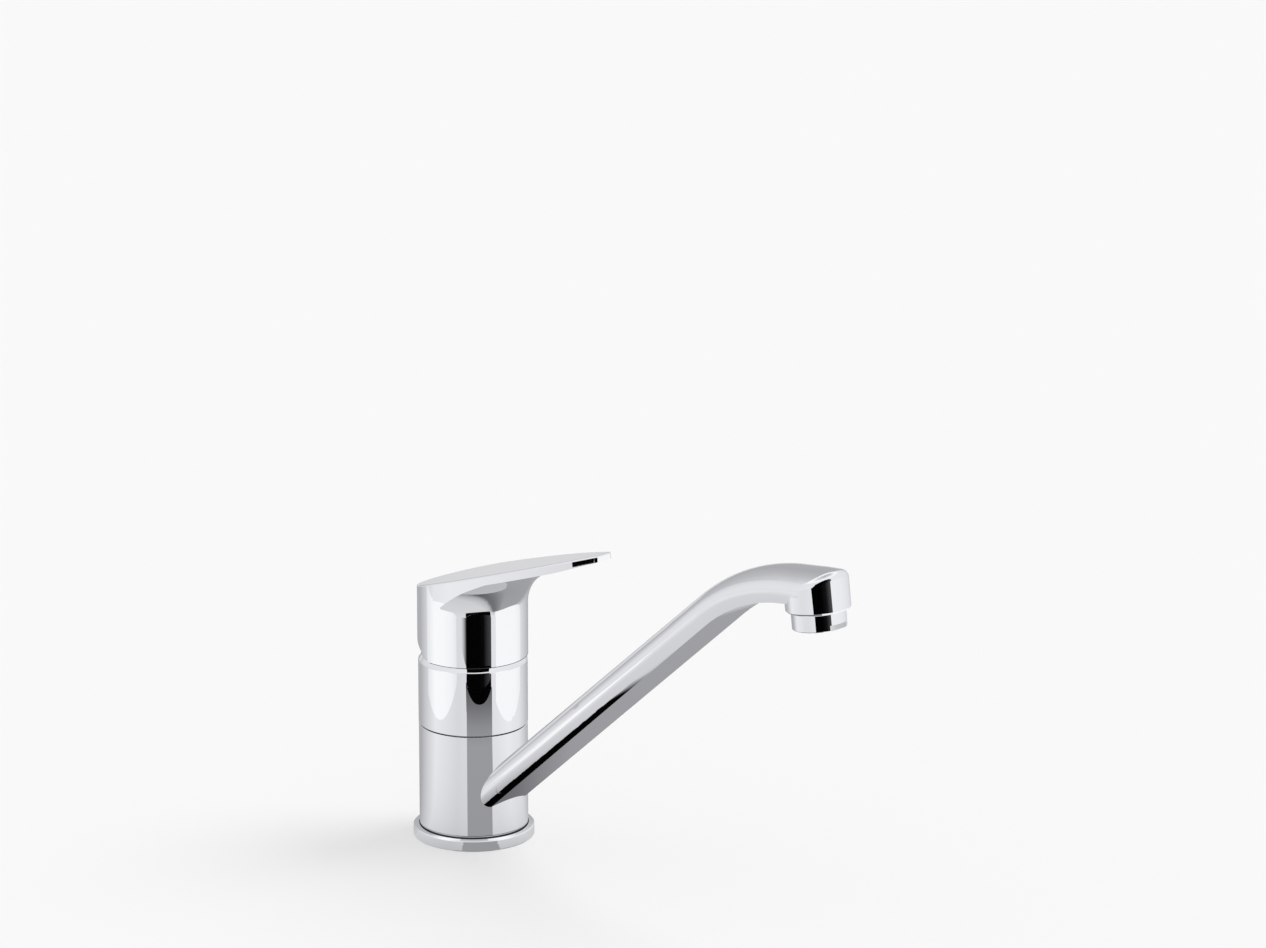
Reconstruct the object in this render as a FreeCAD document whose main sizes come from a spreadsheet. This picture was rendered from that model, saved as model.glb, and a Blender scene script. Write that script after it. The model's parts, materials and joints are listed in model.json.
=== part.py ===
import FreeCAD, Part
import math
import os
import re
import Sketcher

# A single-lever kitchen faucet that swivels on a deck flange.
# Millimetres and degrees. Z is up from the deck, X runs from the body to the outlet.

SIZES = {
    # Shared clearances and small forms
    "thread_gap": 0.1,
    "turn_gap": 0.1,
    "slide_gap": 0.3,
    "edge_break": 0.3,
    "overrun": 2.0,
    # Deck flange and its gasket
    "base_radius": 27.7,
    "base_edge_height": 5.05,
    "base_top_height": 6.0,
    "base_edge_break": 0.5,
    "gasket_inner_radius": 22.0,
    "gasket_outer_radius": 25.0,
    "gasket_thickness": 2.0,
    # Column of the valve body, inside the spout hub
    "foot_radius": 19.5,
    "land_foot_height": 4.8,
    "land_radius": 20.9,
    "groove_radius": 18.7,
    "groove_width": 3.0,
    "lower_groove_height": 11.0,
    "upper_groove_drop": 6.15,
    "seal_squeeze_gap": 0.04,
    "chamber_radius": 17.0,
    "chamber_bottom_height": 18.0,
    "chamber_top_drop": 12.15,
    # Cup of the valve body, around the cartridge
    "body_radius": 25.0,
    "seam_height": 54.15,
    "rim_rise": 3.88,
    "cup_floor_rise": 3.35,
    "cup_radius": 20.2,
    "nut_thread_radius": 21.5,
    "nut_thread_depth": 7.0,
    # Waterways of the valve body
    "port_radius": 4.0,
    "inlet_back": 6.0,
    "inlet_spread": 8.0,
    "outlet_forward": 9.0,
    "outlet_window_height": 30.0,
    "outlet_floor_height": 24.0,
    "inlet_thread_radius": 4.45,
    "inlet_thread_depth": 12.0,
    "stud_thread_radius": 3.35,
    "stud_thread_depth": 14.0,
    "stud_forward": 11.0,
    "stud_spread": 7.0,
    # Spout hub and slip rings
    "hub_radius": 24.9,
    "foot_gap": 0.25,
    "seam_gap": 0.25,
    "slip_ring_width": 2.6,
    "lower_slip_thickness": 0.85,
    "upper_slip_thickness": 1.15,
    # Spout arm, measured square to its line
    "arm_line_height": 8.58,
    "arm_angle": 40.77,
    "arm_start": 10.0,
    "arm_half_width": 15.19,
    "arm_crown": 9.54,
    "arm_side_radius": 6.0,
    "arm_flat_half_width": 10.89,
    "arm_depth": 5.87,
    "elbow_radius": 89.4,
    "spout_wall": 2.3,
    # Spout nose, measured along its tilted axis
    "nose_reach": 212.35,
    "nose_height": 152.96,
    "nose_angle": 7.1,
    "nose_radius": 14.36,
    "nose_inset": 0.06,
    "nose_line_height": 10.29,
    "nose_crown": 8.5,
    "nose_side_radius": 5.2,
    "nose_flat_half_width": 12.8,
    "nose_depth": 5.88,
    "nose_fall_radius": 140.0,
    "nose_edge_break": 0.8,
    "nose_brow_radius": 3.3,
    "throat_radius": 8.0,
    "aerator_seat_depth": 5.5,
    # Aerator
    "aerator_radius": 12.09,
    "aerator_length": 7.85,
    "aerator_seam": 0.25,
    "aerator_thread_radius": 11.0,
    "aerator_thread_length": 4.2,
    "aerator_bore_radius": 9.6,
    "aerator_lip_width": 0.9,
    "aerator_lip_height": 1.2,
    "key_flat_half_width": 5.1,
    "key_flat_height": 2.5,
    "insert_height": 5.0,
    "jet_radius": 0.8,
    "inner_jet_circle_radius": 3.4,
    "outer_jet_circle_radius": 6.6,
    "screen_thickness": 0.6,
    "washer_bore_radius": 8.3,
    # Cartridge
    "cartridge_radius": 20.0,
    "port_seal_height": 1.5,
    "port_seal_recess": 1.0,
    "port_seal_wall": 1.5,
    "plate_thickness": 4.5,
    "disc_seal_height": 1.0,
    "peg_radius": 1.5,
    "peg_length": 2.0,
    "peg_forward": 6.0,
    "peg_spread": 12.0,
    "fixed_disc_radius": 16.0,
    "fixed_disc_thickness": 4.0,
    "film_gap": 0.02,
    "moving_disc_radius": 12.0,
    "moving_disc_thickness": 4.0,
    "mixing_recess": 2.0,
    "mixing_radius": 8.0,
    "carrier_radius": 12.4,
    "carrier_thickness": 6.0,
    "rail_width": 3.0,
    "rail_height": 1.8,
    "rail_length": 12.0,
    "rail_spread": 9.0,
    "rotor_flange_radius": 15.8,
    "rotor_flange_thickness": 3.2,
    "rotor_neck_radius": 10.4,
    "rotor_ear_height": 4.5,
    "housing_bore_radius": 16.3,
    "housing_roof_thickness": 3.0,
    "housing_roof_radius": 17.6,
    "collar_radius": 13.2,
    "collar_height": 3.2,
    "nut_height": 5.2,
    "nut_bore_gap": 0.2,
    "nut_notch_width": 4.0,
    "nut_notch_depth": 2.0,
    # Bonnet over the cartridge nut
    "bonnet_radius": 24.6,
    "bonnet_shoulder_radius": 23.3,
    "bonnet_shoulder_height": 2.6,
    "bonnet_brow_radius": 20.0,
    "bonnet_brow_height": 4.2,
    "bonnet_hole_radius": 13.6,
    "bonnet_crown_height": 5.2,
    "bonnet_wall": 1.2,
    "bonnet_bore_gap": 0.3,
    # Lever stem and its pivot
    "ball_sink": 0.52,
    "lift_half_angle": 11.0,
    "stem_depth": 7.0,
    "stem_width": 8.0,
    "stem_cover": 5.34,
    "stem_heel": 3.5,
    "stem_neck_radius": 2.4,
    "stem_arm": 12.0,
    "stem_ball_radius": 3.0,
    "ball_gap": 0.15,
    "pin_radius": 1.5,
    "pin_length": 19.0,
    "pin_gap": 0.06,
    # Lever handle
    "skirt_radius": 25.25,
    "skirt_rise": 2.3,
    "skirt_length": 24.4,
    "skirt_lip": 1.05,
    "skirt_lip_height": 4.0,
    "skirt_wall": 2.6,
    "skirt_taper_height": 7.0,
    "cavity_rise": 1.1,
    "relief_start": 2.0,
    "relief_angle": 25.0,
    "flare_bend_radius": 19.0,
    "flare_bend_angle": 50.0,
    "flare_lap": 0.2,
    "lever_rise": 13.8,
    "lever_angle": 17.5,
    "lever_reach": 83.7,
    "lever_tip_half_width": 4.6,
    "lever_tip_corner": 2.4,
    "blade_depth": 4.4,
    "lever_tip_depth": 3.0,
    "lever_tip_taper": 19.0,
    "lever_edge_radius": 0.7,
    "boss_radius": 8.2,
    "boss_foot": 7.0,
    "socket_gap": 0.05,
    "set_screw_radius": 2.5,
    "set_screw_length": 6.0,
    "set_screw_height": 13.0,
    "hex_radius": 1.4,
    "hex_depth": 2.5,
    "plug_radius": 3.1,
    "plug_length": 2.0,
    "plug_recess": 0.6,
}

# Counts of repeated forms
JETS_PER_RING = (6, 12)
NUT_NOTCHES = 6

# Places that follow from the sizes above
DERIVED = {
    "upper_groove_height": "seam_height - upper_groove_drop",
    "chamber_top_height": "seam_height - chamber_top_drop",
    "hub_bore": "land_radius + turn_gap",
    "hub_foot": "base_top_height + foot_gap",
    "hub_top": "seam_height - seam_gap",
    "slip_inner": "hub_bore + slide_gap",
    "slip_outer": "slip_inner + slip_ring_width",
    "lower_slip_floor": "hub_foot - lower_slip_thickness",
    "upper_slip_floor": "seam_height - upper_slip_thickness",
    "flange_bore": "foot_radius + thread_gap",
    "flange_step": "land_foot_height - thread_gap",
    "seal_section": "(hub_bore - seal_squeeze_gap - groove_radius) / 2",
    "seal_line": "groove_radius + seal_section",
    # Spout line: straight arm, elbow, level run to the nose axis
    "line_end_x": "nose_reach - nose_line_height * sin(nose_angle)",
    "line_end_z": "nose_height + nose_line_height * cos(nose_angle)",
    "line_start_z": "arm_line_height + arm_start * tan(arm_angle)",
    "corner_x": "(line_end_z - line_end_x * tan(nose_angle) - arm_line_height)"
                " / (tan(arm_angle) - tan(nose_angle))",
    "corner_z": "arm_line_height + corner_x * tan(arm_angle)",
    "elbow_tangent": "elbow_radius * tan((arm_angle - nose_angle) / 2)",
    "bend_start_x": "corner_x - elbow_tangent * cos(arm_angle)",
    "bend_start_z": "corner_z - elbow_tangent * sin(arm_angle)",
    "bend_end_x": "corner_x + elbow_tangent * cos(nose_angle)",
    "bend_end_z": "corner_z + elbow_tangent * sin(nose_angle)",
    "nose_half_width": "nose_radius - nose_inset",
    # Aerator stack, measured from the nose rim
    "aerator_foot": "-aerator_length",
    "insert_foot": "aerator_lip_height - aerator_length",
    "screen_foot": "insert_foot + insert_height",
    "aerator_thread_bore": "aerator_thread_radius + thread_gap",
    "insert_radius": "aerator_bore_radius - thread_gap",
    # Cartridge stack
    "cup_floor_height": "seam_height + cup_floor_rise",
    "plate_foot": "cup_floor_height + port_seal_height - port_seal_recess",
    "plate_top": "plate_foot + plate_thickness",
    "fixed_top": "plate_top + fixed_disc_thickness",
    "moving_foot": "fixed_top + film_gap",
    "moving_top": "moving_foot + moving_disc_thickness",
    "carrier_top": "moving_top + carrier_thickness",
    "rotor_foot": "carrier_top + slide_gap",
    "rotor_flange_top": "rotor_foot + rotor_flange_thickness",
    "roof_foot": "rotor_flange_top + slide_gap",
    "roof_top": "roof_foot + housing_roof_thickness",
    "rim_height": "roof_foot + rim_rise",
    "pivot_height": "carrier_top + stem_arm - ball_sink",
    "rotor_top": "pivot_height + rotor_ear_height",
    "rotor_hole": "rotor_neck_radius + slide_gap",
    "nut_radius": "nut_thread_radius - thread_gap",
    "nut_bore": "housing_roof_radius + nut_bore_gap",
    "nut_top": "roof_foot + nut_height",
    "stroke_half": "stem_arm * sin(lift_half_angle)",
    "socket_floor": "pivot_height - stem_arm - stem_ball_radius - slide_gap",
    "slot_half_width": "stem_width / 2 + slide_gap",
    "slot_half_length": "stroke_half + stem_ball_radius + 2 * slide_gap",
    # Lever handle
    "skirt_bore": "skirt_radius - skirt_wall",
    "skirt_height": "rim_height + skirt_rise",
    "flare_height": "skirt_height + skirt_length",
    "cavity_height": "flare_height + cavity_rise",
    "lever_height": "flare_height + lever_rise",
    "blade_foot": "lever_height - blade_depth",
    "flare_bend_x": "skirt_radius + flare_bend_radius * (1 - cos(flare_bend_angle))",
    "flare_bend_z": "flare_height + flare_bend_radius * sin(flare_bend_angle)",
    "flare_run": "cos(flare_bend_angle) - sin(lever_angle)",
    "flare_climb": "cos(lever_angle) - sin(flare_bend_angle)",
    "flare_sweep_radius": "(blade_foot + flare_lap + flare_bend_x * tan(lever_angle) - flare_bend_z)"
                          " / (flare_climb - tan(lever_angle) * flare_run)",
    "flare_end_x": "flare_bend_x + flare_sweep_radius * flare_run",
    "flare_end_z": "flare_bend_z + flare_sweep_radius * flare_climb",
    "side_fall": "skirt_radius - lever_tip_half_width",
    "lever_side_radius": "(lever_reach * lever_reach + side_fall * side_fall) / 2 / side_fall",
    "boss_top": "(cavity_height - pivot_height + boss_radius * sin(lift_half_angle))"
                " / cos(lift_half_angle) + edge_break",
    "stem_top": "boss_top - stem_cover",
    "plug_face": "(skirt_radius + set_screw_height * sin(lift_half_angle)) / cos(lift_half_angle)"
                 " - plug_recess",
    "handle_span": "lever_reach + skirt_radius",
    "handle_top": "lever_height + lever_reach * tan(lever_angle) + overrun",
}

NAME = re.compile(r"[a-z_]+")

doc = FreeCAD.newDocument("kitchen_faucet")
sheet = doc.addObject("Spreadsheet::Sheet", "sizes")
for row, (name, number) in enumerate(SIZES.items(), start=1):
    sheet.set("A%d" % row, name)
    sheet.set("B%d" % row, str(number))
    sheet.setAlias("B%d" % row, name)
doc.recompute()


def bound(text):
    """Write an expression on named sizes as one on the sheet's cells."""
    def cell(match):
        word = match.group(0)
        if word in DERIVED:
            return "(" + bound(DERIVED[word]) + ")"
        return "sizes." + word if word in SIZES else word
    return NAME.sub(cell, text)


def value(text):
    """The number that an expression on named sizes has now."""
    result = sheet.evalExpression(bound(text))
    return float(getattr(result, "Value", result))


def bind(thing, **expressions):
    """Tie properties of an object to named sizes."""
    for prop, text in expressions.items():
        thing.setExpression(prop, bound(text))


def place(thing, x="0", y="0", z="0", turn=None, axis=(0, 1, 0)):
    """Put an object at a named point, turned about an axis by a named angle."""
    if turn is not None:
        thing.Placement = FreeCAD.Placement(
            FreeCAD.Vector(), FreeCAD.Rotation(FreeCAD.Vector(*axis), value(turn)))
        thing.setExpression("Placement.Rotation.Angle", bound(turn))
    for letter, text in zip("xyz", (x, y, z)):
        if text != "0":
            thing.setExpression("Placement.Base." + letter, bound(text))
    return thing


def place_on_nose(thing, along="0", out="0", y="0"):
    """Put an object on the nose's tilted axis, a distance up from the rim."""
    return place(
        thing,
        "nose_reach - (%s) * sin(nose_angle) + (%s) * cos(nose_angle)" % (along, out), y,
        "nose_height + (%s) * cos(nose_angle) + (%s) * sin(nose_angle)" % (along, out),
        turn="nose_angle", axis=(0, -1, 0))


def place_on_stem(thing, along="0", out="0", y="0"):
    """Put an object on the lever stem's leaning axis, a distance up from the pivot."""
    return place(
        thing,
        "(%s) * sin(lift_half_angle) + (%s) * cos(lift_half_angle)" % (along, out), y,
        "pivot_height + (%s) * cos(lift_half_angle) - (%s) * sin(lift_half_angle)" % (along, out),
        turn="lift_half_angle")


def pin(sketch, edge, end, across, up):
    """Hold one end of a sketch edge at a named point."""
    for kind, text, axis in (("DistanceX", across, -2), ("DistanceY", up, -1)):
        if text == "0":
            sketch.addConstraint(Sketcher.Constraint("PointOnObject", edge, end, axis))
        else:
            rule = Sketcher.Constraint(kind, -1, 1, edge, end, value(text))
            sketch.setExpression("Constraints[%d]" % sketch.addConstraint(rule), bound(text))


def arc_between(start, stop, radius):
    """The short arc from start to stop, counter-clockwise."""
    chord = stop - start
    inward = FreeCAD.Vector(-chord.y, chord.x, 0).normalize()
    height = math.sqrt(max(radius ** 2 - chord.Length ** 2 / 4, 0))
    middle = (start + stop) / 2 + inward * height
    first = math.atan2(start.y - middle.y, start.x - middle.x)
    last = math.atan2(stop.y - middle.y, stop.x - middle.x)
    if last < first:
        last += 2 * math.pi
    return Part.ArcOfCircle(Part.Circle(middle, FreeCAD.Vector(0, 0, 1), radius), first, last)


def outline(sketch, corners, rounds=None):
    """Draw a closed outline, counter-clockwise, with named corners and named round sides."""
    rounds = rounds or {}
    ends = [FreeCAD.Vector(value(across), value(up), 0) for across, up in corners]
    count = len(ends)
    for side in range(count):
        start, stop = ends[side], ends[(side + 1) % count]
        if side in rounds:
            sketch.addGeometry(arc_between(start, stop, value(rounds[side])), False)
        else:
            sketch.addGeometry(Part.LineSegment(start, stop), False)
    for side in range(count):
        sketch.addConstraint(Sketcher.Constraint("Coincident", side, 2, (side + 1) % count, 1))
    for side, (across, up) in enumerate(corners):
        pin(sketch, side, 1, across, up)
    for side, radius in rounds.items():
        rule = sketch.addConstraint(Sketcher.Constraint("Radius", side, value(radius)))
        sketch.setExpression("Constraints[%d]" % rule, bound(radius))


def sketch_on(body, name, role):
    """A sketch on one of a body's own origin planes."""
    sketch = body.newObject("Sketcher::SketchObject", name)
    plane = next(item for item in body.Origin.OriginFeatures if item.Role == role)
    sketch.AttachmentSupport = [(plane, "")]
    sketch.MapMode = "FlatFace"
    return sketch


def turned(name, corners, rounds=None):
    """A piece turned about Z from a half section in radius and height."""
    body = doc.addObject("PartDesign::Body", name)
    section = sketch_on(body, name + "_section", "XZ_Plane")
    outline(section, corners, rounds)
    turn = body.newObject("PartDesign::Revolution", name + "_turn")
    turn.Profile = section
    turn.ReferenceAxis = (section, ["V_Axis"])
    turn.Angle = 360
    return body


def ring(name, inner, outer, low, high):
    """A plain ring turned about Z."""
    return turned(name, [(inner, low), (outer, low), (outer, high), (inner, high)])


def slab(name, corners, width, rounds=None):
    """A side outline in X and Z, padded equally to both sides."""
    body = doc.addObject("PartDesign::Body", name)
    section = sketch_on(body, name + "_section", "XZ_Plane")
    outline(section, corners, rounds)
    pad = body.newObject("PartDesign::Pad", name + "_pad")
    pad.Profile = section
    pad.SideType = "Symmetric"
    bind(pad, Length=width)
    return body


def plan(name, corners, low, high, rounds=None):
    """A plan outline in X and Y, padded up from one height to another."""
    body = doc.addObject("PartDesign::Body", name)
    section = sketch_on(body, name + "_section", "XY_Plane")
    section.setExpression("AttachmentOffset.Base.z", bound(low))
    outline(section, corners, rounds)
    pad = body.newObject("PartDesign::Pad", name + "_pad")
    pad.Profile = section
    bind(pad, Length="(%s) - (%s)" % (high, low))
    return body


def rod(name, radius, length):
    """A round bar up from its own origin, still to be placed."""
    bar = doc.addObject("Part::Cylinder", name)
    bind(bar, Radius=radius, Height=length)
    return bar


def bar_at(name, radius, low, high, x="0", y="0"):
    """A round bar along Z between two heights."""
    return place(rod(name, radius, "(%s) - (%s)" % (high, low)), x, y, low)


def block(name, length, width, height):
    """A block up from its own corner, still to be placed."""
    box = doc.addObject("Part::Box", name)
    bind(box, Length=length, Width=width, Height=height)
    return box


def block_at(name, length, width, low, high, x="0", y="0"):
    """A block between two heights, centred on a point of X and Y."""
    box = block(name, length, width, "(%s) - (%s)" % (high, low))
    return place(box, "(%s) - (%s) / 2" % (x, length), "(%s) - (%s) / 2" % (y, width), low)


def joined(name, shapes):
    """Several solids as one."""
    if len(shapes) == 1:
        return shapes[0]
    fuse = doc.addObject("Part::MultiFuse", name)
    fuse.Shapes = shapes
    return fuse


def cut(name, base, tools):
    """A solid with others taken out of it."""
    result = doc.addObject("Part::Cut", name)
    result.Base = base
    result.Tool = joined(name + "_tools", tools)
    return result


def common(name, base, tool):
    """What two solids share."""
    result = doc.addObject("Part::Common", name)
    result.Base = base
    result.Tool = tool
    return result


def softened(name, base, radius, chosen):
    """A solid with a fillet along the edges that a test chooses."""
    doc.recompute()
    fillet = doc.addObject("Part::Fillet", name)
    fillet.Base = base
    size = value(radius)
    numbered = enumerate(base.Shape.Edges, start=1)
    fillet.Edges = [(number, size, size) for number, edge in numbered if chosen(edge)]
    return fillet


def on_ports(make):
    """Make one object at each of the two inlets and at the outlet."""
    return [
        make("hot", "-inlet_back", "-inlet_spread"),
        make("cold", "-inlet_back", "inlet_spread"),
        make("mixed", "outlet_forward", "0"),
    ]


def on_sides(make, spread):
    """Make one object on each side of the X axis."""
    return [make("right", "-" + spread), make("left", spread)]


pieces = {}


def keep(label, thing):
    """Hand in a finished piece under its own name."""
    thing.Label = label
    pieces[label] = thing


def deck_flange():
    """Round flange under the hub, with a gasket groove and a slip ring recess."""
    keep("base_ring", turned("base_ring", [
        ("flange_bore", "0"),
        ("gasket_inner_radius", "0"),
        ("gasket_inner_radius", "gasket_thickness"),
        ("gasket_outer_radius", "gasket_thickness"),
        ("gasket_outer_radius", "0"),
        ("base_radius - edge_break", "0"),
        ("base_radius", "edge_break"),
        ("base_radius", "base_edge_height - base_edge_break"),
        ("base_radius - base_edge_break", "base_edge_height"),
        ("hub_radius", "base_top_height"),
        ("slip_outer + thread_gap", "base_top_height"),
        ("slip_outer + thread_gap", "lower_slip_floor"),
        ("hub_bore", "lower_slip_floor"),
        ("hub_bore", "flange_step"),
        ("flange_bore", "flange_step"),
    ]))
    keep("deck_gasket", ring("deck_gasket", "gasket_inner_radius", "gasket_outer_radius",
                             "0", "gasket_thickness"))


def valve_body():
    """Column with seal grooves and a mixing chamber, under a cup for the cartridge."""
    def groove(height):
        low = height + " - groove_width / 2"
        high = height + " + groove_width / 2"
        return [("land_radius", low), ("groove_radius", low),
                ("groove_radius", high), ("land_radius", high)]

    blank = turned("valve_body_blank", [
        ("0", "0"),
        ("foot_radius", "0"),
        ("foot_radius", "land_foot_height"),
        ("land_radius", "land_foot_height"),
        *groove("lower_groove_height"),
        ("land_radius", "chamber_bottom_height"),
        ("chamber_radius", "chamber_bottom_height"),
        ("chamber_radius", "chamber_top_height"),
        ("land_radius", "chamber_top_height"),
        *groove("upper_groove_height"),
        ("land_radius", "seam_height"),
        ("body_radius - edge_break", "seam_height"),
        ("body_radius", "seam_height + edge_break"),
        ("body_radius", "rim_height - edge_break"),
        ("body_radius - edge_break", "rim_height"),
        ("nut_thread_radius", "rim_height"),
        ("nut_thread_radius", "rim_height - nut_thread_depth"),
        ("cup_radius", "rim_height - nut_thread_depth"),
        ("cup_radius", "cup_floor_height"),
        ("0", "cup_floor_height"),
    ])
    cup_top = "cup_floor_height + overrun"
    under = "-overrun"
    tools = [
        bar_at("hot_passage", "port_radius", under, cup_top, "-inlet_back", "-inlet_spread"),
        bar_at("cold_passage", "port_radius", under, cup_top, "-inlet_back", "inlet_spread"),
        bar_at("mixed_passage", "port_radius", "outlet_floor_height", cup_top, "outlet_forward"),
        place(rod("mixed_window", "port_radius", "chamber_radius"),
              "outlet_forward", "0", "outlet_window_height", turn="90"),
    ]
    tools += on_sides(lambda side, y: bar_at(
        side + "_inlet_thread", "inlet_thread_radius", under,
        "inlet_thread_depth", "-inlet_back", y), "inlet_spread")
    tools += on_sides(lambda side, y: bar_at(
        side + "_stud_thread", "stud_thread_radius", under,
        "stud_thread_depth", "stud_forward", y), "stud_spread")
    tools += on_sides(lambda side, y: bar_at(
        side + "_peg_hole", "peg_radius + thread_gap", "plate_foot - peg_length - slide_gap",
        cup_top, "peg_forward", y), "peg_spread")
    keep("valve_body", cut("valve_body_cut", blank, tools))


def swivel_seals():
    """Slip rings and seals that carry the spout hub on the column."""
    keep("lower_slip_ring", ring("lower_slip_ring", "slip_inner", "slip_outer",
                                 "lower_slip_floor", "hub_foot"))
    keep("upper_slip_ring", ring("upper_slip_ring", "slip_inner", "slip_outer",
                                 "upper_slip_floor", "seam_height"))
    for place_name in ("lower", "upper"):
        seal = doc.addObject("Part::Torus", place_name + "_spout_seal")
        bind(seal, Radius1="seal_line", Radius2="seal_section")
        keep(place_name + "_spout_seal", place(seal, z=place_name + "_groove_height"))


def arm_section(body, name, at_nose, wall):
    """Section square to the spout line: crowned top, round sides, flat underside."""
    end = "nose" if at_nose else "arm"
    half, crown, side, flat, depth = (
        end + "_half_width - " + wall, end + "_crown - " + wall, end + "_side_radius - " + wall,
        end + "_flat_half_width - " + wall, end + "_depth - " + wall)
    half, crown, side, flat, depth = ("(%s)" % item for item in (half, crown, side, flat, depth))
    step = "(%s - %s)" % (half, side)
    top = ("((%s * %s + %s * %s - %s * %s) / 2 / (%s - %s))"
           % (step, step, crown, crown, side, side, crown, side))
    lean = "(%s - %s)" % (top, side)
    join_x = "%s * %s / %s" % (top, step, lean)
    join_z = "%s - %s + %s * (%s - %s) / %s" % (crown, top, top, top, crown, lean)
    gap = "(%s - %s)" % (half, flat)
    low = "(%s * %s + %s * %s) / 2 / %s" % (gap, gap, depth, depth, gap)
    sketch = sketch_on(body, name, "YZ_Plane")
    angle = "nose_angle" if at_nose else "arm_angle"
    sketch.AttachmentOffset = FreeCAD.Placement(
        FreeCAD.Vector(), FreeCAD.Rotation(FreeCAD.Vector(-1, 0, 0), value(angle)))
    bind(sketch, **{
        "AttachmentOffset.Rotation.Angle": angle,
        "AttachmentOffset.Base.y": "line_end_z" if at_nose else "line_start_z",
        "AttachmentOffset.Base.z": "line_end_x" if at_nose else "arm_start"})
    outline(sketch, [
        ("-" + flat, "-" + depth), (flat, "-" + depth), (half, "0"),
        (join_x, join_z), ("-" + join_x, join_z), ("-" + half, "0"),
    ], {1: low, 2: side, 3: top, 4: side, 5: low})
    return sketch


def arm_sweep(name, wall):
    """The spout section swept along the spout line, drawn in by a wall."""
    body = doc.addObject("PartDesign::Body", name)
    line = sketch_on(body, name + "_line", "XZ_Plane")
    ends = [("arm_start", "line_start_z"), ("bend_start_x", "bend_start_z"),
            ("bend_end_x", "bend_end_z"), ("line_end_x", "line_end_z")]
    start, bend_start, bend_end, stop = [
        FreeCAD.Vector(value(across), value(up), 0) for across, up in ends]
    line.addGeometry(Part.LineSegment(start, bend_start), False)
    line.addGeometry(arc_between(bend_end, bend_start, value("elbow_radius")), False)
    line.addGeometry(Part.LineSegment(bend_end, stop), False)
    line.addConstraint(Sketcher.Constraint("Coincident", 0, 2, 1, 2))
    line.addConstraint(Sketcher.Constraint("Coincident", 1, 1, 2, 1))
    for edge, end, (across, up) in zip((0, 0, 2, 2), (1, 2, 1, 2), ends):
        pin(line, edge, end, across, up)
    rule = line.addConstraint(Sketcher.Constraint("Radius", 1, value("elbow_radius")))
    line.setExpression("Constraints[%d]" % rule, bound("elbow_radius"))
    first = arm_section(body, name + "_first", False, wall)
    last = arm_section(body, name + "_last", True, wall)
    doc.recompute()
    sweep = body.newObject("PartDesign::AdditivePipe", name + "_sweep")
    sweep.Profile = first
    sweep.Spine = (line, ["Edge1", "Edge2", "Edge3"])
    sweep.Transformation = "Multisection"
    sweep.Sections = [(last, "")]
    return body, last


def spout():
    """Hub, arm and nose in one casting, with its waterway."""
    arm, last = arm_sweep("spout_arm", "0")
    fall = sketch_on(arm, "spout_front_line", "XZ_Plane")
    ends = [("line_end_x + nose_fall_radius * sin(nose_angle)",
             "line_end_z + nose_fall_radius * (1 - cos(nose_angle))"),
            ("line_end_x", "line_end_z")]
    stop, start = [FreeCAD.Vector(value(across), value(up), 0) for across, up in ends]
    fall.addGeometry(arc_between(stop, start, value("nose_fall_radius")), False)
    for end, (across, up) in zip((1, 2), ends):
        pin(fall, 0, end, across, up)
    rule = fall.addConstraint(Sketcher.Constraint("Radius", 0, value("nose_fall_radius")))
    fall.setExpression("Constraints[%d]" % rule, bound("nose_fall_radius"))
    doc.recompute()
    front = arm.newObject("PartDesign::AdditivePipe", "spout_front")
    front.Profile = last
    front.Spine = (fall, ["Edge1"])
    trim_height = "nose_line_height + nose_crown + 2 * overrun"
    corner = place_on_nose(
        block("nose_trim_block", "nose_radius + 2 * overrun", "2 * nose_radius + 2 * overrun", trim_height),
        "-overrun", "0", "-nose_radius - overrun")
    round_front = place_on_nose(rod("nose_trim_round", "nose_radius", trim_height), "-overrun")
    trim = cut("nose_trim", corner, [round_front])
    trimmed = cut("spout_arm_trimmed", arm, [trim])
    hub = turned("spout_hub", [
        ("0", "hub_foot"),
        ("hub_radius - edge_break", "hub_foot"),
        ("hub_radius", "hub_foot + edge_break"),
        ("hub_radius", "hub_top - edge_break"),
        ("hub_radius - edge_break", "hub_top"),
        ("0", "hub_top"),
    ])
    boss = turned("nose_boss", [
        ("0", "0"),
        ("nose_radius - nose_edge_break", "0"),
        ("nose_radius", "nose_edge_break"),
        ("nose_radius", "nose_line_height - overrun"),
        ("0", "nose_line_height - overrun"),
    ])
    place_on_nose(boss)
    casting = joined("spout_casting", [hub, trimmed, boss])
    bore = turned("hub_bore_tool", [
        ("0", "hub_foot - overrun"),
        ("hub_bore", "hub_foot - overrun"),
        ("hub_bore", "upper_slip_floor"),
        ("slip_outer + thread_gap", "upper_slip_floor"),
        ("slip_outer + thread_gap", "hub_top + overrun"),
        ("0", "hub_top + overrun"),
    ])
    waterway, _ = arm_sweep("spout_waterway", "spout_wall")
    throat = place_on_nose(rod(
        "nose_throat", "throat_radius", "nose_line_height + nose_crown - spout_wall - overrun"))
    seat = place_on_nose(rod("nose_thread", "aerator_thread_bore", "aerator_seat_depth + overrun"),
                         "-overrun")
    drilled = cut("spout_cut", casting, [bore, waterway, throat, seat])
    rim = FreeCAD.Vector(value("nose_reach"), 0, value("nose_height"))
    lean = FreeCAD.Rotation(FreeCAD.Vector(0, 1, 0), value("nose_angle"))

    def on_brow(edge):
        ends = [lean.multVec(vertex.Point - rim) for vertex in edge.Vertexes]
        return all(abs(math.hypot(end.x, end.y) - value("nose_radius")) < value("nose_inset")
                   and end.z > value("nose_line_height - edge_break") for end in ends)

    keep("spout", softened("spout_rounded", drilled, "nose_brow_radius", on_brow))


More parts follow.
